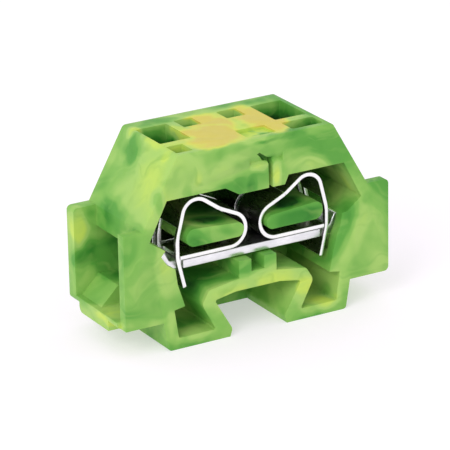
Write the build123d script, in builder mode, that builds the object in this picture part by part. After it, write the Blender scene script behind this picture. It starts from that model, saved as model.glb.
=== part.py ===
from build123d import *

import os
from math import cos, radians, sin, tan

# Through terminal block for four wires: a moulded housing, open on one side, that holds a
# current bar and four cage-clamp springs. Millimetres. X runs along the block, Y through
# its thickness with the open side at -Y, and Z up. The origin is under the middle, on the
# plane that the two feet stand on.

# ---------------------------------------------------------------- driving dimensions
LENGTH = 28.0  # over the wire-entry wings
DEPTH = 10.0  # thickness, which is the pitch when blocks are stacked
HEIGHT = 18.3
FRONT = -DEPTH / 2
BACK = DEPTH / 2

# housing outline
TOP_HALF = 8.0  # half length of the flat top
SIDE_HALF = 11.7  # half length where the slopes end
SIDE_TOP = 11.8  # height where the slopes end and the wings begin
SIDE_BOTTOM = 9.8  # underside of the body's side, over the wire entry
WING_HALF = LENGTH / 2
SHORT_WING_HALF = 13.65  # the left front wing stops a little sooner
WING_BOTTOM = 2.8
FOOT_TOP_HALF = 9.8
FOOT_HALF = 9.33  # the feet taper towards the bottom

# housing walls
CHAMBER_BACK = BACK - 0.9
ENTRY_FRONT = FRONT + 1.0
ENTRY_BACK = BACK - 1.3
ENTRY_INNER = 8.0  # the wire entries meet the spring chamber here
ENTRY_CEILING = 9.3  # the ceiling slopes down to this towards the bar
SILL_TOP = 3.45
RAMP_TOP = 5.2
PAD_BOTTOM = 2.1  # a shallow pad under each wing
PAD_FRONT = FRONT + 2.65
PAD_BACK = FRONT + 8.15
PAD_LENGTH = 2.2
ARCH_TOP = 5.4  # top of the wall over the notch, under the ribs
HAUNCH = (5.1, 4.95)  # where that wall starts to bend
NOTCH_BEND = (5.85, 3.7)  # where it turns down round the notch
FOOT_FLOOR = 1.05
ROOF = 14.3  # ceiling of the spring chamber
LINTEL = 13.45  # lower ceiling in the middle

# dovetail notch for a mounting foot
NOTCH_ROOT_HALF = 4.55
NOTCH_ROOT = 3.85
NOTCH_ARCH = 4.25
NOTCH_MOUTH_HALF = 2.75
NOTCH_MOUTH = 0.75
NOTCH_END = FRONT + 7.15  # the notch is closed at the back

# rounding of the housing's corners
TOP_ROUND = 0.5
FOOT_ROUND = 0.35
WING_ROUND = 0.45
NOTCH_BEND_ROUND = 0.7
FLOOR_ROUND = 0.15
HAUNCH_ROUND = 0.5
MOUTH_ROUND = 0.5
ROOT_ROUND = 0.2
PAD_ROUND = 0.6
POCKET_ROUND = 0.15

# pegs inside the springs
PEG_BOTTOM = 9.3
PEG_ENDS = [(1.86, 0.68), (6.28, 0.84)]  # (distance from the middle, radius)
PEG_FRONT = FRONT + 0.33

# springs
STRIP = 0.36  # thickness of the spring strip
STRIP_WIDTH = 3.7
WINDOW_WIDTH = 2.9
WINDOW_TOP = 11.1
SPRING_Y = {"front": -2.4, "rear": 1.9}  # middle of each strip
SIDES = {"left": -1, "right": 1}
BEND_R = 1.62
BEND_X = 2.38
SEAT_GAP = 0.1  # the seat is slightly bowed and bears on the bar at its ends only
ARM_ANGLE = 25.0
CREST = (5.78, 12.13)
CREST_R = 1.44
CREST_ANGLE = 36.0
LEG_ANGLE = 14.0
LEG_X = 7.8
LEG_KNEE = 8.15
LEG_TIP = (7.15, 5.43)

# current bar
BAR_TOP = 8.02
BAR_THICK = 0.8
BAR_BOTTOM = BAR_TOP - BAR_THICK
BAR_FRONT = -4.1
BAR_BACK = 3.65
TONGUE_WIDTH = 2.7
TONGUE_ROOT = 7.2  # half length of the full-width middle
LIP_START = 8.38
LIP_ANGLE = 62.0
LIP_LENGTH = 1.22
LIP_THICK = 0.6
BAR_ROUND_BOTTOM = 0.35
BAR_ROUND_TOP = 0.3

os.makedirs("parts", exist_ok=True)


def at_depth(y):
    """Plane facing the open side, with X to the right and Z up, at depth y."""
    return Plane.XZ.offset(-y)


def mirrored(points):
    """The same points on the other side of the middle, in reverse order."""
    return [(-x, z) for x, z in reversed(points)]


def both_sides(right_half):
    """Outline made of a right half and its mirror image."""
    return right_half + mirrored(right_half)


def corners(sketch, height):
    """Corners of an upright sketch at one height."""
    return sketch.vertices().filter_by_position(Axis.Y, height - 0.06, height + 0.06)


def on_circle(center, radius, degrees):
    """Point on a circle, with the angle measured from +X towards +Z."""
    return (center[0] + radius * cos(radians(degrees)), center[1] + radius * sin(radians(degrees)))


# ---------------------------------------------------------------- housing
OUTLINE = [
    (TOP_HALF, HEIGHT),
    (SIDE_HALF, SIDE_TOP),
    (WING_HALF, SIDE_TOP),
    (WING_HALF, WING_BOTTOM),
    (FOOT_TOP_HALF, WING_BOTTOM),
    (FOOT_HALF, 0),
]
ENTRY = [
    (SIDE_HALF, HEIGHT),
    (WING_HALF + 1, HEIGHT),
    (WING_HALF + 1, SILL_TOP),
    (ENTRY_INNER, SILL_TOP),
    (ENTRY_INNER, ENTRY_CEILING),
    (9.75, ENTRY_CEILING),
    (SIDE_HALF, SIDE_BOTTOM),
]
CHEEK = [(8.2, ENTRY_FRONT), (10.4, ENTRY_FRONT), (9.0, ENTRY_FRONT + 1), (8.2, ENTRY_FRONT + 1)]
CHEEK_TOP = 6.8
CHAMBER_TOP = [(9.2, ROOF), (11.05, 10.7)]
LIP_NOTCHES = {  # clearance for the bar's lips, which is wider on the left
    "right": [(9.55, 9.52), (9.0, 9.45), (8.8, 8.3), (8.45, 7.6), (8.1, 6.3)],
    "left": [(9.45, 9.65), (9.9, 9.15), (9.3, 8.2), (8.5, 7.7), (8.3, 6.2)],
}
CHAMBER_FOOT = [
    (7.6, 4.0),
    (8.7, 3.8),
    (8.3, FOOT_FLOOR),
    (4.45, FOOT_FLOOR),
    NOTCH_BEND,
    HAUNCH,
    (2.1, ARCH_TOP),
]
RAMP = [(13.4, SILL_TOP), (11.65, RAMP_TOP), (9.4, RAMP_TOP), (9.4, SILL_TOP)]
NOTCH = [
    (2.3, NOTCH_ARCH),
    (NOTCH_ROOT_HALF, NOTCH_ROOT),
    (NOTCH_MOUTH_HALF, NOTCH_MOUTH),
    (NOTCH_MOUTH_HALF + 0.4, -0.5),
]
LINTEL_BLOCK = [(-3.4, ROOF + 0.1), (-1.8, LINTEL), (2.95, LINTEL), (3.4, ROOF + 0.1)]
OPERATING_SLOTS = [  # (left, right, front, back) of each screwdriver slot in the top
    (-7.75, -4.6, -1.45, 3.1),
    (4.15, 7.4, -1.45, 3.1),
    (-7.75, -6.1, -4.4, -2.45),
    (4.15, 7.4, -4.4, -2.45),
]
LABEL_SLOTS = [(-3.7, -1.85, 1.35, 3.4), (0.75, 2.75, 1.35, 3.4)]
LABEL_SLOT_DEPTH = 2.4
TOP_RECESS = (-0.45, 2.6, -4.2, -2.0)
TOP_RECESS_DEPTH = 0.35
RIB_HALF = 1.95
RIB_TOP = 7.05
RIB_GAP = 1.36
RIB_GAP_BOTTOM = 5.85
RIB_GAP_DEPTH = 2.2
KEY_SLIT = [
    (1.3, LINTEL - 1),
    (1.7, LINTEL - 1),
    (1.75, 16.25),
    (1.2, 16.35),
    (0.35, 16.95),
    (0.1, 16.85),
    (0.8, 16.05),
    (1.25, 15.95),
]
KEY_DEPTH = 1.1
KEY_GROOVE = [(FRONT, 16.6), (FRONT + 0.35, 16.05), (FRONT, 15.75)]  # section across the top of the slit
KEY_GROOVE_ENDS = (-0.7, 2.75)


def pocket(left, right, front, back):
    """Rounded rectangle in the top of the housing, to be cut out."""
    with Locations(((left + right) / 2, (front + back) / 2)):
        RectangleRounded(right - left, back - front, POCKET_ROUND)


with BuildPart() as housing:
    # outer shape, with the wings still solid
    with BuildSketch(at_depth(BACK)) as outline:
        with BuildLine():
            Polyline(*both_sides(OUTLINE), close=True)
        make_face()
        fillet(corners(outline, HEIGHT), radius=TOP_ROUND)
        fillet(corners(outline, 0), radius=FOOT_ROUND)
        wing_corners = [v for v in outline.vertices() if abs(v.X) > SIDE_HALF + 1]
        fillet(wing_corners, radius=WING_ROUND)
    extrude(amount=DEPTH)

    # wire entries, open at the two ends between the front and back wings
    with BuildSketch(at_depth(ENTRY_BACK)):
        with BuildLine():
            Polyline(*ENTRY, close=True)
        make_face()
        mirror(about=Plane.YZ)
    extrude(amount=ENTRY_BACK - ENTRY_FRONT, mode=Mode.SUBTRACT)
    with Locations((-WING_HALF, FRONT, SIDE_TOP / 2)):
        Box(2 * (WING_HALF - SHORT_WING_HALF), 2 * (ENTRY_FRONT - FRONT), SIDE_TOP + 2, mode=Mode.SUBTRACT)

    # cheeks behind the front wings, which lead the front wires in
    with BuildSketch(Plane.XY.offset(SILL_TOP - 0.1)):
        with BuildLine():
            Polyline(*CHEEK, close=True)
        make_face()
        mirror(about=Plane.YZ)
    extrude(amount=CHEEK_TOP - SILL_TOP + 0.1)

    # spring chamber, open at the front, with a lower ceiling in the middle
    with BuildSketch(at_depth(CHAMBER_BACK)) as chamber:
        with BuildLine():
            right_half = CHAMBER_TOP + LIP_NOTCHES["right"] + CHAMBER_FOOT
            left_half = CHAMBER_TOP + LIP_NOTCHES["left"] + CHAMBER_FOOT
            Polyline(*right_half, *mirrored(left_half), close=True)
        make_face()
        fillet(corners(chamber, NOTCH_BEND[1]), radius=NOTCH_BEND_ROUND)
        fillet(corners(chamber, FOOT_FLOOR), radius=FLOOR_ROUND)
        fillet(corners(chamber, HAUNCH[1]), radius=HAUNCH_ROUND)
    extrude(amount=CHAMBER_BACK - FRONT, mode=Mode.SUBTRACT)
    with BuildSketch(at_depth(CHAMBER_BACK)):
        with BuildLine():
            Polyline(*LINTEL_BLOCK, close=True)
        make_face()
    extrude(amount=CHAMBER_BACK - FRONT)

    # shallow pad under each wing, flush with its end and rounded at the rear
    with BuildSketch(Plane.YZ) as pad:
        with Locations(((PAD_FRONT + PAD_BACK) / 2, (PAD_BOTTOM + SILL_TOP - 0.1) / 2)):
            Rectangle(PAD_BACK - PAD_FRONT, SILL_TOP - 0.1 - PAD_BOTTOM)
        fillet(corners(pad, PAD_BOTTOM).sort_by(Axis.X)[-1], radius=PAD_ROUND)
    for side in SIDES.values():
        middle = Plane.YZ.offset(side * (WING_HALF - PAD_LENGTH / 2)).location
        section = pad.sketch_local.moved(middle)
        add(extrude(section, amount=PAD_LENGTH / 2, both=True, mode=Mode.PRIVATE))

    # ramps in the rear half of each entry, which lift the wire to the underside of the bar
    with BuildSketch(at_depth(ENTRY_BACK)):
        with BuildLine():
            Polyline(*RAMP, close=True)
        make_face()
        mirror(about=Plane.YZ)
    extrude(amount=ENTRY_BACK)

    # two ribs under the middle of the bar, with a slit between their front ends
    with BuildSketch(at_depth(CHAMBER_BACK)):
        with Locations((0, (ARCH_TOP + RIB_TOP) / 2 - 0.25)):
            Rectangle(2 * RIB_HALF, RIB_TOP - ARCH_TOP + 0.5)
    extrude(amount=CHAMBER_BACK - FRONT)
    with Locations((0, FRONT, (RIB_GAP_BOTTOM + RIB_TOP) / 2)):
        Box(RIB_GAP, 2 * RIB_GAP_DEPTH, RIB_TOP - RIB_GAP_BOTTOM, mode=Mode.SUBTRACT)

    # round-ended pegs that the springs loop over, tapering towards the middle of the block
    for side in SIDES.values():
        with BuildSketch(at_depth(CHAMBER_BACK)):
            for end_x, end_r in PEG_ENDS:
                with Locations((side * end_x, PEG_BOTTOM + end_r)):
                    Circle(end_r)
            make_hull()
        extrude(amount=CHAMBER_BACK - PEG_FRONT)

    # dovetail notch between the feet, closed at the back
    with BuildSketch(at_depth(NOTCH_END)) as notch:
        with BuildLine():
            Polyline(*both_sides(NOTCH), close=True)
        make_face()
        fillet(corners(notch, NOTCH_MOUTH), radius=MOUTH_ROUND)
        fillet(corners(notch, NOTCH_ROOT), radius=ROOT_ROUND)
    extrude(amount=NOTCH_END - FRONT, mode=Mode.SUBTRACT)

    # slots in the top: four for a screwdriver, two for labels
    with BuildSketch(Plane.XY.offset(HEIGHT)):
        for slot in OPERATING_SLOTS:
            pocket(*slot)
    extrude(amount=ROOF - HEIGHT - 0.2, mode=Mode.SUBTRACT)
    with BuildSketch(Plane.XY.offset(HEIGHT)):
        for slot in LABEL_SLOTS:
            pocket(*slot)
    extrude(amount=-LABEL_SLOT_DEPTH, mode=Mode.SUBTRACT)

    # shallow recess in the top, near the open side
    with BuildSketch(Plane.XY.offset(HEIGHT)):
        pocket(*TOP_RECESS)
    extrude(amount=-TOP_RECESS_DEPTH, mode=Mode.SUBTRACT)

    # key slit in the front wall, over the opening, with a groove across its top
    with BuildSketch(Plane.YZ.offset(KEY_GROOVE_ENDS[0])):
        with BuildLine():
            Polyline(*KEY_GROOVE, close=True)
        make_face()
    extrude(amount=KEY_GROOVE_ENDS[1] - KEY_GROOVE_ENDS[0], mode=Mode.SUBTRACT)
    with BuildSketch(at_depth(FRONT)):
        with BuildLine():
            Polyline(*KEY_SLIT, close=True)
        make_face()
    extrude(amount=-KEY_DEPTH, mode=Mode.SUBTRACT)

housing.part.label = "housing"
export_step(housing.part, "parts/housing.step")

# ---------------------------------------------------------------- current bar
LIP_RISE = on_circle((LIP_START, BAR_TOP), LIP_LENGTH, LIP_ANGLE)
LIP_TIP = on_circle(LIP_RISE, LIP_THICK, LIP_ANGLE - 90)
LIP_HEEL = LIP_TIP[0] - (LIP_TIP[1] - BAR_BOTTOM) / tan(radians(LIP_ANGLE))
BAR_PROFILE = [(LIP_HEEL, BAR_BOTTOM), LIP_TIP, LIP_RISE, (LIP_START, BAR_TOP)]
FORK_LENGTH = 4.0  # cut from the end of the full-width middle to beyond the lips

with BuildPart() as current_bar:
    with BuildSketch(at_depth(BAR_BACK)) as bar_profile:
        with BuildLine():
            Polyline(*both_sides(BAR_PROFILE), close=True)
        make_face()
        fillet(corners(bar_profile, BAR_BOTTOM), radius=BAR_ROUND_BOTTOM)
        fillet(corners(bar_profile, BAR_TOP), radius=BAR_ROUND_TOP)
    extrude(amount=BAR_BACK - BAR_FRONT)
    # the ends are forked, so that one tongue passes through each spring's window
    tongue_edges = [y + offset for y in SPRING_Y.values() for offset in (-TONGUE_WIDTH / 2, TONGUE_WIDTH / 2)]
    fork_gaps = [(BAR_FRONT - 1, tongue_edges[0]), tongue_edges[1:3], (tongue_edges[3], BAR_BACK + 1)]
    for side in SIDES.values():
        for gap_front, gap_back in fork_gaps:
            with Locations((side * (TONGUE_ROOT + FORK_LENGTH / 2), (gap_front + gap_back) / 2, BAR_TOP)):
                Box(FORK_LENGTH, gap_back - gap_front, 5 * BAR_THICK, mode=Mode.SUBTRACT)

current_bar.part.label = "current_bar"
export_step(current_bar.part, "parts/current_bar.step")

# ---------------------------------------------------------------- cage-clamp springs
# Each spring is one bent strip. It is cut into three solids, so that it can flex: the seat
# rides just over the bar, the arm turns about the middle of the inner bend, and the leg,
# with the window that the bar passes through, turns about the outside of the crest.
SEAT_Z = BAR_TOP + SEAT_GAP + STRIP / 2
BEND = (BEND_X, SEAT_Z + BEND_R)
SEAT_END = 7.55
ARM_START = on_circle(BEND, BEND_R, 90 + ARM_ANGLE)
ARM_END = on_circle(CREST, CREST_R, 90 + CREST_ANGLE)
ARM_KNEE = (3.41, 12.19)
LEG_START = on_circle(CREST, CREST_R, LEG_ANGLE)
LEG_SHOULDER = (LEG_X, 9.98)
WINDOW_BOTTOM = BAR_BOTTOM - 0.06


def seat_path():
    Line((SEAT_END, SEAT_Z), (BEND_X, SEAT_Z))
    CenterArc(BEND, BEND_R, 270, -90)


def arm_path():
    CenterArc(BEND, BEND_R, 180, ARM_ANGLE - 90)
    FilletPolyline(ARM_START, ARM_KNEE, ARM_END, radius=3)
    CenterArc(CREST, CREST_R, 90 + CREST_ANGLE, -CREST_ANGLE)


def leg_path():
    CenterArc(CREST, CREST_R, 90, LEG_ANGLE - 90)
    FilletPolyline(LEG_START, LEG_SHOULDER, (LEG_X, LEG_KNEE), LEG_TIP, radius=(4, 3))


def strip(path, side, y, window=False):
    """Solid of spring strip along a path, on one side of the block and centred on depth y."""
    with BuildPart() as piece:
        with BuildSketch(at_depth(y + STRIP_WIDTH / 2)):
            with BuildLine():
                path()
            trace(line_width=STRIP)
            if side < 0:
                mirror(about=Plane.YZ, mode=Mode.REPLACE)
        extrude(amount=STRIP_WIDTH)
        if window:
            with Locations((side * LEG_X, y, (WINDOW_TOP + WINDOW_BOTTOM) / 2)):
                Box(2, WINDOW_WIDTH, WINDOW_TOP - WINDOW_BOTTOM, mode=Mode.SUBTRACT)
    return piece


for row, y in SPRING_Y.items():
    for side_name, side in SIDES.items():
        pieces = {
            "seat": strip(seat_path, side, y),
            "arm": strip(arm_path, side, y),
            "leg": strip(leg_path, side, y, window=True),
        }
        for name, piece in pieces.items():
            piece.part.label = f"spring_{name}_{row}_{side_name}"
            export_step(piece.part, f"parts/{piece.part.label}.step")
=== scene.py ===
from math import cos, degrees, pi, radians, sin, tan

import bmesh
import bpy
from mathutils import Matrix, Vector


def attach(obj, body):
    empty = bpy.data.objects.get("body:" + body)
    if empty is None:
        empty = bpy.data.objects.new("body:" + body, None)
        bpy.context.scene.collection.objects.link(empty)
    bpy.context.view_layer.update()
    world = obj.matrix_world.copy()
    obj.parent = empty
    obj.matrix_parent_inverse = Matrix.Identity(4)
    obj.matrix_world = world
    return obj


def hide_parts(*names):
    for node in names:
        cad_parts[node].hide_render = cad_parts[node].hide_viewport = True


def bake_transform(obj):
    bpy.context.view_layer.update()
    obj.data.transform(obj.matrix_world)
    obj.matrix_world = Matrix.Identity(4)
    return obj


# Looks of the four-wire terminal block: the marbled moulding, the tinned bar and the four
# cage-clamp springs. Sizes are millimetres in the CAD model's frame, with the open side at
# -Y, and MM turns them into Blender's metres. Only the floor and the lights are given in
# metres.
MM = 0.001

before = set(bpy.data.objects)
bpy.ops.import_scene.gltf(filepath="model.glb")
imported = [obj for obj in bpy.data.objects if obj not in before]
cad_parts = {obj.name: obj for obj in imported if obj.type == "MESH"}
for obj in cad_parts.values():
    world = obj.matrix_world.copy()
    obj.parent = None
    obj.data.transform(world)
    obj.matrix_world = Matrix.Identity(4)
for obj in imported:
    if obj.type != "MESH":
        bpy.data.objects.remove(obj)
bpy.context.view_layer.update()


# ---------------------------------------------------------------- small helpers
CREASE_ANGLE = 40  # faces that meet at more than this many degrees keep a crease
WHITE = (1.0, 1.0, 1.0, 1.0)


def srgb(red, green, blue):
    """Linear colour from 0-255 display values."""
    def channel(value):
        value /= 255
        return value / 12.92 if value <= 0.04045 else ((value + 0.055) / 1.055) ** 2.4
    return (channel(red), channel(green), channel(blue), 1.0)


def new_object(name, data):
    piece = bpy.data.objects.new(name, data)
    bpy.context.scene.collection.objects.link(piece)
    return piece


def smooth(mesh):
    mesh.shade_smooth()
    mesh.set_sharp_from_angle(angle=radians(CREASE_ANGLE))


# ---------------------------------------------------------------- material helpers
class Nodes:
    """A material's node tree, with short ways to add and join nodes."""

    def __init__(self, name):
        self.material = bpy.data.materials.new(name)
        self.material.use_nodes = True
        self.tree = self.material.node_tree
        self.shader = self.tree.nodes["Principled BSDF"]

    def feed(self, socket, value):
        """Give a socket a plain value, or link another socket to it."""
        if isinstance(value, bpy.types.NodeSocket):
            self.tree.links.new(value, socket)
        else:
            socket.default_value = value

    def add(self, kind, inputs, **settings):
        node = self.tree.nodes.new(kind)
        for key, value in settings.items():
            setattr(node, key, value)
        for key, value in inputs.items():
            self.feed(node.inputs[key], value)
        return node

    def set(self, **values):
        """Feed the shader's own sockets; underscores stand for spaces."""
        for key, value in values.items():
            self.feed(self.shader.inputs[key.replace("_", " ")], value)

    def math(self, operation, first, second):
        return self.add("ShaderNodeMath", {0: first, 1: second}, operation=operation).outputs[0]

    def vector_sum(self, first, second):
        inputs = {0: first, 1: second}
        return self.add("ShaderNodeVectorMath", inputs, operation="ADD").outputs[0]

    def vector_scaled(self, vector, factor):
        inputs = {0: vector, 3: factor}
        return self.add("ShaderNodeVectorMath", inputs, operation="SCALE").outputs[0]

    def mapped(self, vector, scale, location=(0, 0, 0)):
        """A vector scaled along each axis and then moved."""
        inputs = {"Vector": vector, "Scale": scale, "Location": location}
        return self.add("ShaderNodeMapping", inputs).outputs[0]

    def position(self):
        """Object coordinates in millimetres."""
        coordinates = self.add("ShaderNodeTexCoord", {}).outputs["Object"]
        return self.vector_scaled(coordinates, 1 / MM)

    def noise(self, vector, scale, detail=3.0, roughness=0.5, distortion=0.0):
        """Noise node with about `scale` features per millimetre."""
        inputs = {
            "Vector": vector, "Scale": scale, "Detail": detail, "Roughness": roughness,
            "Distortion": distortion,
        }
        return self.add("ShaderNodeTexNoise", inputs)

    def grey_noise(self, *arguments, **settings):
        return self.noise(*arguments, **settings).outputs["Fac"]

    def drift(self, vector, scale, reach, detail=2.0):
        """Noise vector from -reach/2 to +reach/2, to stir other textures with."""
        colour = self.noise(vector, scale, detail).outputs["Color"]
        return self.vector_scaled(self.vector_sum(colour, (-0.5, -0.5, -0.5)), reach)

    def ramp(self, factor, stops, interpolation="EASE"):
        """Colour ramp from a list of (place, colour)."""
        node = self.add("ShaderNodeValToRGB", {"Fac": factor})
        node.color_ramp.interpolation = interpolation
        elements = node.color_ramp.elements
        while len(elements) < len(stops):
            elements.new(1.0)
        for element, (place, colour) in zip(elements, stops):
            element.position = place
            element.color = colour
        return node.outputs["Color"]

    def remap(self, value, low, high, new_low, new_high, interpolation="LINEAR"):
        """The range low to high turned into new_low to new_high, and held there beyond it."""
        inputs = {
            "Value": value, "From Min": low, "From Max": high,
            "To Min": new_low, "To Max": new_high,
        }
        node = self.add("ShaderNodeMapRange", inputs, interpolation_type=interpolation)
        return node.outputs["Result"]

    def mix(self, factor, first, second):
        """Mix of two colours, which are the mix node's inputs 6 and 7 and its output 2."""
        inputs = {"Factor": factor, 6: first, 7: second}
        return self.add("ShaderNodeMix", inputs, data_type="RGBA").outputs[2]

    def bump(self, height, strength, distance):
        inputs = {"Height": height, "Strength": strength, "Distance": distance * MM}
        return self.add("ShaderNodeBump", inputs).outputs["Normal"]


# ---------------------------------------------------------------- marbled plastic
# darkest green, reached mostly where pools of painted shade push the mixture down
DARK_GREEN_AND_SHADE = srgb(22, 74, 26)
DEEP_GREEN = srgb(52, 126, 40)
GREEN = srgb(88, 154, 60)
LIGHT_GREEN = srgb(124, 176, 80)
PALE_GREEN = srgb(156, 194, 100)
YELLOW = srgb(186, 210, 90)
BRIGHT_YELLOW = srgb(206, 210, 84)
WARM_YELLOW = srgb(206, 190, 84)

# Colour of the mixture, from all green at 0 to all yellow at 1; its darkest end also serves as
# painted shade.
MIXTURE_COLOURS = [
    (0.06, DARK_GREEN_AND_SHADE),
    (0.22, DEEP_GREEN),
    (0.38, GREEN),
    (0.50, LIGHT_GREEN),
    (0.62, PALE_GREEN),
    (0.84, YELLOW),
]

# Pools that shift the mixture greener (below 0) or yellower (above 0): middle of the pool,
# its reach along X, Y and Z, and how far it shifts the mixture. Some are the melt's own
# colour; others, marked below, are painted shade in hollows and painted light on lit faces.
MELT_AND_LIGHT_POOLS = [
    # flat top
    ((-1.0, -0.6, 18.4), (9.0, 5.2, 0.9), 0.40),
    ((-4.6, 3.9, 18.4), (2.4, 1.0, 0.8), -0.16),
    ((3.6, 4.3, 18.4), (4.0, 1.0, 0.8), -0.14),
    ((7.8, 0.5, 18.4), (1.3, 4.0, 0.8), -0.06),
    ((3.4, -4.8, 18.4), (2.6, 0.9, 0.8), -0.24),
    # walls of the slots in the top, with painted shade deep down in them
    ((1.2, -3.4, 17.9), (2.2, 1.9, 0.35), -0.55),
    ((-6.2, 1.4, 16.0), (3.4, 3.2, 2.3), -0.55),
    ((5.8, 1.4, 16.0), (3.4, 3.2, 2.3), -0.55),
    ((0, 2.4, 16.2), (4.6, 1.8, 2.0), -0.45),
    ((6.4, -3.4, 16.2), (2.4, 1.5, 2.0), -0.45),
    ((-7.0, -3.4, 17.2), (1.7, 1.4, 1.2), 0.35),
    # painted light on the left slot's right wall, which faces the light
    ((-4.4, 0.8, 17.5), (0.9, 2.6, 0.9), 0.45),
    ((-7.7, 3.2, 17.8), (0.9, 1.0, 0.8), 0.40),
    # left slope, and the right slope's lower end
    ((-9.6, 0, 15.2), (2.4, 5.5, 3.4), 0.10),
    ((-11.6, 0, 11.9), (1.2, 5.0, 1.6), -0.16),
    ((-10.0, -4.6, 14.2), (0.7, 1.2, 1.7), -0.18),
    ((10.7, -1.6, 11.2), (1.6, 2.8, 2.6), 0.24),
    # front wall over the spring chamber
    ((-8.2, -5, 15.8), (1.6, 1.2, 2.0), -0.06),
    ((-8.8, -5, 12.4), (1.4, 1.0, 1.6), -0.10),
    ((-4.4, -5, 15.4), (2.8, 1.2, 1.7), 0.14),
    ((4.4, -5, 17.2), (2.2, 1.0, 1.0), -0.08),
    ((-1.4, -5, 16.4), (3.4, 1.2, 1.6), 0.14),
    ((-2.4, -5, 13.9), (2.2, 1.2, 1.2), -0.16),
    ((6.2, -5, 14.6), (1.6, 1.2, 1.4), 0.10),
    # round the key slit in the front wall: painted highlight on the raised ribs, painted shade in
    # the shallow recess
    ((2.2, -5, 14.6), (0.7, 1.0, 1.6), 0.26),
    ((0.5, -5, 15.6), (1.2, 1.0, 0.7), 0.22),
    ((-0.4, -5, 13.9), (0.7, 1.0, 1.2), -0.16),
    # front rim beside the springs, and the right front wing
    ((-9.6, -5, 8.6), (1.2, 1.2, 3.4), 0.16),
    ((9.8, -5, 10.2), (2.0, 1.2, 2.0), -0.08),
    ((12.6, -5, 6.6), (2.4, 1.2, 5.0), 0.12),
    # painted shade in the spring chamber, on its pegs under the spring arms, and in the hollow
    # under the bar
    ((0, 0.8, 10.5), (8.4, 4.4, 5.0), -0.26),
    ((-4.4, -4.8, 10.0), (3.6, 1.4, 1.4), -0.18),
    ((4.4, -4.8, 10.0), (3.6, 1.4, 1.4), -0.26),
    ((-4.0, -3.0, 10.9), (1.9, 1.4, 0.8), -0.50),
    ((4.0, -3.0, 10.9), (1.9, 1.4, 0.8), -0.50),
    ((-4.6, -1.2, 5.0), (2.8, 3.2, 1.4), -0.24),
    # wall over the foot notch, and the feet
    ((0, -5.2, 4.2), (7.5, 1.0, 2.2), 0.24),
    ((5.0, -5.2, 2.6), (1.3, 1.0, 2.0), 0.20),
    # painted light: the feet's pocket floors lighter near the open side, where light falls in
    ((-6.5, -4.4, 1.0), (2.6, 2.0, 1.0), 0.26),
    ((6.5, -4.4, 1.0), (2.6, 2.0, 1.0), 0.26),
    ((-8.9, -5.2, 2.0), (1.0, 0.8, 2.6), 0.14),
    # left wire entry: painted shade between its wings and at the back, painted light on the rear
    # wing's inner face and on its sill
    ((-9.6, 2.6, 7.2), (3.4, 2.4, 4.6), -0.28),
    ((-13.4, 3.9, 10.2), (1.2, 1.2, 2.2), 0.30),
    ((-12.6, 2.0, 4.4), (1.8, 2.2, 1.4), 0.04),
    ((-13.0, 3.7, 7.2), (1.8, 1.0, 1.6), -0.24),
    ((-14.0, 0.4, 2.4), (0.8, 3.2, 0.6), 0.06),
    ((-13.2, -2, 3.0), (1.6, 3.2, 0.6), 0.26),
]
# The warm yellow that rose to the middle of the top: middle and reach of each pool.
WARM_POOLS = [
    ((-1.3, 0.8, 18.7), (2.8, 3.4, 0.8)),
    ((-3.0, -2.0, 18.7), (3.6, 3.9, 0.8)),
    ((3.1, -0.4, 18.7), (2.6, 4.6, 0.8)),
]
WARM_FROM = 18.0  # the warm yellow starts at this height, so the slots' walls stay green,
WARM_FULL = 18.2  # and has its full share from this height up
POOL_CORE = 0.35  # a pool has its full share up to this part of its reach,
POOL_EDGE = 1.15  # and none from here on


def closeness(nodes, place, middle, reach):
    """1 in the core of a pool, falling smoothly to 0 at its edge."""
    scale = tuple(1 / r for r in reach)
    shift = tuple(-m * s for m, s in zip(middle, scale))
    from_middle = nodes.mapped(place, scale, shift)
    distance = nodes.add("ShaderNodeVectorMath", {0: from_middle}, operation="LENGTH")
    return nodes.remap(distance.outputs["Value"], POOL_CORE, POOL_EDGE, 1.0, 0.0, "SMOOTHSTEP")


def melt_with_painted_light(nodes, stirred, nudged):
    """Colour of the swirls, which follow one vector, and of the pools, which follow another; some
    pools are painted shade and painted light.
    """
    mixture = nodes.grey_noise(
        stirred, scale=0.17, detail=1.2, roughness=0.35, distortion=0.5
    )
    mixture = nodes.remap(mixture, 0.2, 0.8, 0.28, 0.72)  # calm enough for the pools to show
    for middle, reach, shift in MELT_AND_LIGHT_POOLS:
        share = nodes.math("MULTIPLY", closeness(nodes, nudged, middle, reach), shift)
        mixture = nodes.math("ADD", mixture, share)
    return nodes.ramp(mixture, MIXTURE_COLOURS)


def streaked(nodes, colour, flow):
    """The colour with thin streaks along the flow of the melt, some greener and some paler."""
    stretched = nodes.mapped(flow, scale=(0.45, 1.0, 1.7))
    streaks = nodes.grey_noise(
        stretched, scale=0.5, detail=1.6, roughness=0.4, distortion=0.3
    )
    colour = nodes.mix(nodes.remap(streaks, 0.50, 0.70, 0.0, 0.30), colour, GREEN)
    return nodes.mix(nodes.remap(streaks, 0.48, 0.30, 0.0, 0.28), colour, PALE_GREEN)


def warmed(nodes, colour, position, nudged):
    """The colour with yellow pools on the top, bright at the edge and warm in the middle."""
    height = nodes.add("ShaderNodeSeparateXYZ", {"Vector": position}).outputs["Z"]
    near_top = nodes.remap(height, WARM_FROM, WARM_FULL, 0.0, 1.0)
    for middle, reach in WARM_POOLS:
        warm = nodes.math("MULTIPLY", closeness(nodes, nudged, middle, reach), near_top)
        colour = nodes.mix(nodes.remap(warm, 0.02, 0.22, 0.0, 0.85), colour, BRIGHT_YELLOW)
        colour = nodes.mix(nodes.remap(warm, 0.22, 0.50, 0.0, 0.90), colour, WARM_YELLOW)
    return colour


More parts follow.
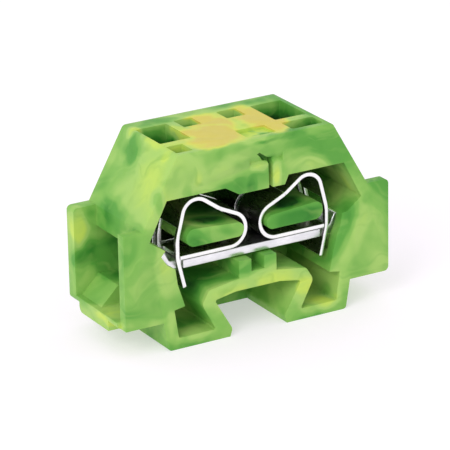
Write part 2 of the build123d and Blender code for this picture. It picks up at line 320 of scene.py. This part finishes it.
def marbled_plastic_and_painted_light():
    """Green and yellow polyamide, stirred together in the mould: soft swirls a few mm wide, with
    painted shade in hollows and painted light on some lit faces.
    """
    nodes = Nodes("marbled_plastic_and_painted_light")
    position = nodes.position()
    nudge = nodes.drift(position, scale=0.35, reach=1.4)
    nudged = nodes.vector_sum(position, nudge)
    wide_stir = nodes.drift(position, scale=0.14, reach=9.0, detail=1.0)
    stirred = nodes.vector_sum(position, wide_stir)
    narrow_stir = nodes.drift(stirred, scale=0.35, reach=2.4, detail=1.0)
    stirred = nodes.vector_sum(stirred, narrow_stir)
    flow = nodes.vector_sum(stirred, nodes.drift(position, scale=0.5, reach=2.2, detail=1.5))
    colour = streaked(nodes, melt_with_painted_light(nodes, stirred, nudged), flow)
    nodes.set(
        Base_Color=warmed(nodes, colour, position, nudged),
        Roughness=nodes.remap(nodes.grey_noise(position, scale=1.5), 0.3, 0.7, 0.42, 0.52),
        Normal=nodes.bump(
            nodes.grey_noise(position, scale=9.0, detail=2.0), strength=0.10, distance=0.02
        ),
        Specular_IOR_Level=0.2,
        Subsurface_Weight=0.05,
        Subsurface_Radius=(0.6 * MM, 0.9 * MM, 0.3 * MM),
        Subsurface_Scale=1.0,
    )
    return nodes.material


# ---------------------------------------------------------------- metals
GRAIN_ROUGHNESS = 0.06  # how far the grain moves the roughness either way


def metal(name, dark, light, roughness, grain, grain_scale=(1.0, 1.0, 1.0)):
    """Metal with fine rolled grain, which the colour and the roughness both vary with.

    The grain has this many features per millimetre, times grain_scale along each axis.
    """
    nodes = Nodes(name)
    position = nodes.position()
    stretched = nodes.mapped(position, grain_scale)
    fine = nodes.grey_noise(stretched, scale=grain, detail=4.0, roughness=0.6)
    broad = nodes.grey_noise(position, scale=0.6, detail=2.0)
    shade = nodes.math("MULTIPLY", fine, nodes.remap(broad, 0.3, 0.7, 0.7, 1.3))
    rough = (roughness - GRAIN_ROUGHNESS, roughness + GRAIN_ROUGHNESS)
    nodes.set(
        Base_Color=nodes.ramp(shade, [(0.25, dark), (0.75, light)], "LINEAR"),
        Metallic=1.0,
        Roughness=nodes.remap(fine, 0.3, 0.7, *rough),
        Normal=nodes.bump(fine, strength=0.12, distance=0.01),
    )
    return nodes.material


PLASTIC = marbled_plastic_and_painted_light()
TIN = metal(
    "tinned_copper", srgb(218, 220, 222), srgb(248, 249, 250),
    roughness=0.32, grain=6.0, grain_scale=(0.25, 1.0, 4.0),
)
# Painted reflection: the strip's broad faces get a darker steel colour that stands in for the
# dark surroundings they reflect.
STRIP_FACE_PAINTED_REFLECTION = metal(
    "strip_face_painted_dark_reflection", srgb(112, 108, 106), srgb(148, 144, 142),
    roughness=0.30, grain=5.0, grain_scale=(1.0, 0.2, 1.0),
)
# Painted highlight: the cut and rounded edges of the same steel get a near-white colour.
STRIP_EDGE_PAINTED_HIGHLIGHT = metal(
    "strip_edge_painted_highlight", srgb(240, 242, 240), srgb(253, 254, 253), roughness=0.30, grain=8.0
)

# ---------------------------------------------------------------- housing and current bar
WELD = 0.002  # vertices closer than this become one
FLAT_ANGLE = 1.0  # faces that meet at less than this many degrees become one
ROUND_ANGLE = 35  # edges where faces meet at more than this many degrees are rounded


def refined_copy(node, name, material, round_over, segments):
    """The node's own shape with its sharp edges rounded by a small radius."""
    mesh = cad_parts[node].data.copy()
    shape = bmesh.new()
    shape.from_mesh(mesh)
    bmesh.ops.remove_doubles(shape, verts=shape.verts, dist=WELD * MM)
    bmesh.ops.dissolve_limit(
        shape, angle_limit=radians(FLAT_ANGLE), use_dissolve_boundaries=False,
        verts=shape.verts, edges=shape.edges, delimit=set(),
    )
    shape.to_mesh(mesh)
    shape.free()
    piece = new_object(name, mesh)
    bevel = piece.modifiers.new("round_over", "BEVEL")
    bevel.width = round_over * MM
    bevel.segments = segments
    bevel.limit_method = "ANGLE"
    bevel.angle_limit = radians(ROUND_ANGLE)
    bevel.use_clamp_overlap = True
    bevel.miter_outer = "MITER_ARC"
    evaluated = piece.evaluated_get(bpy.context.evaluated_depsgraph_get())
    piece.data = bpy.data.meshes.new_from_object(evaluated)
    piece.modifiers.clear()
    piece.data.name = name
    piece.data.materials.clear()
    piece.data.materials.append(material)
    smooth(piece.data)
    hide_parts(node)
    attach(piece, "root")


# ---------------------------------------------------------------- springs
# Each spring is one bent strip, drawn as a line through its middle in the plane of the
# block's side, with x away from the middle of the block and z up.
STRIP = 0.36  # thickness
STRIP_WIDTH = 3.7
SEAT_Z = 8.12 + STRIP / 2
SEAT_END = 7.55
BEND_R = 1.62
BEND = (2.38, SEAT_Z + BEND_R)  # middle of the inner bend
ARM_ANGLE = 25.0  # the arm rises at this angle from the bend
ARM_KNEE = (3.41, 12.19)
KNEE_R = 3.0
CREST = (5.78, 12.13)  # middle of the bend at the top
CREST_R = 1.44
CREST_ANGLE = 36.0  # the arm meets the crest this far before its top
LEG_ANGLE = 14.0  # the leg leaves the crest leaning outwards by this angle
LEG_SHOULDER = (7.8, 9.98)
LEG_KNEE = (7.8, 8.15)
LEG_TIP = (7.15, 5.43)
LEG_RADII = [4.0, 3.0]  # at the shoulder and at the knee
WINDOW = (7.16, 11.1)  # bottom and top of the leg's window
WINDOW_FROM = CREST[0] + 1  # the window is beyond this x
WEB = 0.4  # width of strip left on each side of the window
EDGE_ROUND = 0.05
EDGE_SEGMENTS = 2
EDGE_ANGLE = 60  # edges where faces meet at more than this many degrees are rounded
SPRING_Y = {"front": -2.4, "rear": 1.9}  # middle of each strip
SIDES = {"left": -1, "right": 1}
STEP = 0.16  # length of one face along the strip
EDGE_SLOT = 1  # material slot of the cut edges, which carry a painted highlight; the faces, painted darker as a reflection, have slot 0


def on_circle(center, radius, angle):
    """Point on a circle, with the angle in degrees from +x towards +z."""
    angle = radians(angle)
    return Vector((center[0] + radius * cos(angle), center[1] + radius * sin(angle)))


def arc(center, radius, start, turn):
    """Points along an arc, about one STEP apart, with its angles in degrees."""
    count = max(2, round(abs(radians(turn)) * radius / STEP))
    return [on_circle(center, radius, start + turn * i / count) for i in range(count + 1)]


def rounded(corners, radii):
    """Points along straight runs joined by tangent arcs, one radius for each inner corner."""
    corners = [Vector(corner) for corner in corners]
    points = [corners[0]]
    for before, corner, after, radius in zip(corners, corners[1:], corners[2:], radii):
        inward = (before - corner).normalized()
        outward = (after - corner).normalized()
        half = inward.angle(outward) / 2
        center = corner + (inward + outward).normalized() * radius / sin(half)
        first = corner + inward * radius / tan(half)
        start = (first - center).angle_signed(Vector((1, 0)))
        turn = (pi - 2 * half) * (1 if inward.cross(outward) < 0 else -1)
        points += arc(center, radius, degrees(start), degrees(turn))
    return points + [corners[-1]]


def evenly(points):
    """The same line with its points about one STEP apart, ends kept."""
    result = [points[0]]
    for start, end in zip(points, points[1:]):
        run = end - start
        count = max(1, round(run.length / STEP))
        result += [start + run * (i / count) for i in range(1, count + 1)]
    return result


def spring_lines():
    """Middle lines of the two lengths of strip, which meet half-way along the arm."""
    bend = arc(BEND, BEND_R, 270, ARM_ANGLE - 180)
    crest = arc(CREST, CREST_R, 90 + CREST_ANGLE, LEG_ANGLE - 90 - CREST_ANGLE)
    arm = rounded([bend[-1], ARM_KNEE, crest[0]], [KNEE_R])
    leg = rounded([crest[-1], LEG_SHOULDER, LEG_KNEE, LEG_TIP], LEG_RADII)
    half = len(arm) // 2
    loop = [Vector((SEAT_END, SEAT_Z))] + bend + arm[1:half + 1]
    clamp = arm[half:] + crest[1:] + leg[1:]
    return evenly(loop), evenly(clamp)


def strip_mesh(name, line, side, y, window=None):
    """Bent strip along a line, with rounded edges and, where asked, a window in its leg."""
    half = STRIP_WIDTH / 2
    across = [-half, -half + WEB, half - WEB, half]
    shape = bmesh.new()
    grid = {}
    for i, point in enumerate(line):
        run = line[min(i + 1, len(line) - 1)] - line[max(i - 1, 0)]
        normal = Vector((-run.y, run.x)).normalized()
        for j, offset in enumerate(across):
            for k in (0, 1):
                place = point + normal * STRIP * (k - 0.5)
                corner = (side * place.x * MM, (y + offset) * MM, place.y * MM)
                grid[i, j, k] = shape.verts.new(corner)

    def cut_away(i, j):
        """True outside the strip, and in the window, which is in the middle column."""
        if not (0 <= i < len(line) - 1 and 0 <= j < len(across) - 1):
            return True
        if window is None or j != 1:
            return False
        middle = (line[i] + line[i + 1]) / 2
        return middle.x > WINDOW_FROM and window[0] < middle.y < window[1]

    for i in range(len(line) - 1):
        for j in range(len(across) - 1):
            if cut_away(i, j):
                continue
            cell = ((i, j), (i + 1, j), (i + 1, j + 1), (i, j + 1))
            for k in (0, 1):
                shape.faces.new([grid[(*corner, k)] for corner in cell])
            rims = (
                ((i - 1, j), cell[0], cell[3]),
                ((i + 1, j), cell[1], cell[2]),
                ((i, j - 1), cell[0], cell[1]),
                ((i, j + 1), cell[3], cell[2]),
            )
            for neighbour, a, b in rims:
                if cut_away(*neighbour):
                    rim = [grid[(*a, 0)], grid[(*b, 0)], grid[(*b, 1)], grid[(*a, 1)]]
                    # the cut rim takes the edge material, a painted highlight
                    shape.faces.new(rim).material_index = EDGE_SLOT
    unused = [vert for vert in shape.verts if not vert.link_faces]
    bmesh.ops.delete(shape, geom=unused, context="VERTS")
    bmesh.ops.recalc_face_normals(shape, faces=shape.faces)
    sharp = [edge for edge in shape.edges if edge.calc_face_angle() > radians(EDGE_ANGLE)]
    # the rounded edges take the edge material too, a painted highlight
    bmesh.ops.bevel(
        shape, geom=sharp, offset=EDGE_ROUND * MM, segments=EDGE_SEGMENTS, profile=0.5,
        affect="EDGES", clamp_overlap=True, material=EDGE_SLOT,
    )
    mesh = bpy.data.meshes.new(name)
    shape.to_mesh(mesh)
    shape.free()
    mesh.materials.append(STRIP_FACE_PAINTED_REFLECTION)
    mesh.materials.append(STRIP_EDGE_PAINTED_HIGHLIGHT)
    smooth(mesh)
    return mesh


def spring(row, y, side_name, side):
    """Visual spring: a loop from the seat to half-way along the arm, and a clamp from there
    through the crest and the leg.
    """
    tag = f"{row}_{side_name}"
    loop_line, clamp_line = spring_lines()
    loop = new_object(f"spring_loop_{tag}", strip_mesh(f"loop_{tag}", loop_line, side, y))
    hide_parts(f"spring_seat_{tag}", f"spring_arm_{tag}")
    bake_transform(loop)
    clamp_shape = strip_mesh(f"clamp_{tag}", clamp_line, side, y, WINDOW)
    clamp = new_object(f"spring_clamp_{tag}", clamp_shape)
    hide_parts(f"spring_leg_{tag}")
    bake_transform(clamp)


# ---------------------------------------------------------------- floor and lights, in metres
FLOOR_REACH = 3.0
FLOOR_COLOUR = (0.57, 0.52, 0.58, 1.0)
FLOOR_GLOW = 0.46  # lifts the floor to a pale grey and keeps its shadows soft
SKY_STRENGTH = 0.92
LIGHT_AIM = Vector((0, 0, 0.01))
LIGHTS = {  # place, size and power in watts
    "key": (Vector((-0.44, -0.28, 0.36)), 0.32, 1.45),
    "fill": (Vector((0.45, -0.35, 0.25)), 0.3, 0.15),
}


def area_light(name, place, size, power):
    lamp = bpy.data.lights.new(name, "AREA")
    lamp.shape = "DISK"
    lamp.size = size
    lamp.energy = power
    light = new_object(name, lamp)
    light.location = place
    light.rotation_euler = (LIGHT_AIM - place).to_track_quat("-Z", "Y").to_euler()


def floor():
    nodes = Nodes("pale_floor")
    nodes.set(
        Base_Color=FLOOR_COLOUR,
        Roughness=0.9,
        Emission_Color=WHITE,
        Emission_Strength=FLOOR_GLOW,
        Specular_IOR_Level=0.1,
    )
    quarters = ((-1, -1), (1, -1), (1, 1), (-1, 1))
    corners = [(FLOOR_REACH * x, FLOOR_REACH * y, 0) for x, y in quarters]
    mesh = bpy.data.meshes.new("floor")
    mesh.from_pydata(corners, [], [(0, 1, 2, 3)])
    mesh.materials.append(nodes.material)
    new_object("floor", mesh)


def sky():
    world = bpy.data.worlds.new("studio")
    world.use_nodes = True
    background = world.node_tree.nodes["Background"]
    background.inputs["Color"].default_value = WHITE
    background.inputs["Strength"].default_value = SKY_STRENGTH
    bpy.context.scene.world = world


# ---------------------------------------------------------------- camera
AZIMUTH = radians(-29.957)  # from straight in front of the open side, towards the left
ELEVATION = radians(20.843)
ROLL = radians(-1.1136)
DISTANCE = 291.72  # from the point that the camera looks at
AIM = Vector((1.08, 2.67, 7.48))
LENS = 253.6  # a long lens, for little perspective
SENSOR_WIDTH = 36.0
CLIP_START = 10.0  # nothing nearer than this is drawn


def camera():
    back = Vector((sin(AZIMUTH) * cos(ELEVATION), -cos(AZIMUTH) * cos(ELEVATION), sin(ELEVATION)))
    level = Vector((cos(AZIMUTH), sin(AZIMUTH), 0))
    upright = back.cross(level)
    right = cos(ROLL) * level + sin(ROLL) * upright
    up = -sin(ROLL) * level + cos(ROLL) * upright
    lens = bpy.data.cameras.new("camera")
    lens.lens = LENS
    lens.sensor_width = SENSOR_WIDTH
    lens.clip_start = CLIP_START * MM
    eye = new_object("camera", lens)
    turn = Matrix((right, up, back)).transposed().to_4x4()
    eye.matrix_world = Matrix.Translation((AIM + back * DISTANCE) * MM) @ turn
    bpy.context.scene.camera = eye


# ---------------------------------------------------------------- the whole scene
bpy.context.scene.view_settings.view_transform = "Standard"
sky()
floor()
for light_name, (place, size, power) in LIGHTS.items():
    area_light(light_name, place, size, power)
camera()

refined_copy(
    "housing", "moulded_housing", PLASTIC, round_over=0.2, segments=3
)
refined_copy(
    "current_bar", "tinned_bar", TIN, round_over=0.08, segments=2
)
for row, y in SPRING_Y.items():
    for side_name, side in SIDES.items():
        spring(row, y, side_name, side)
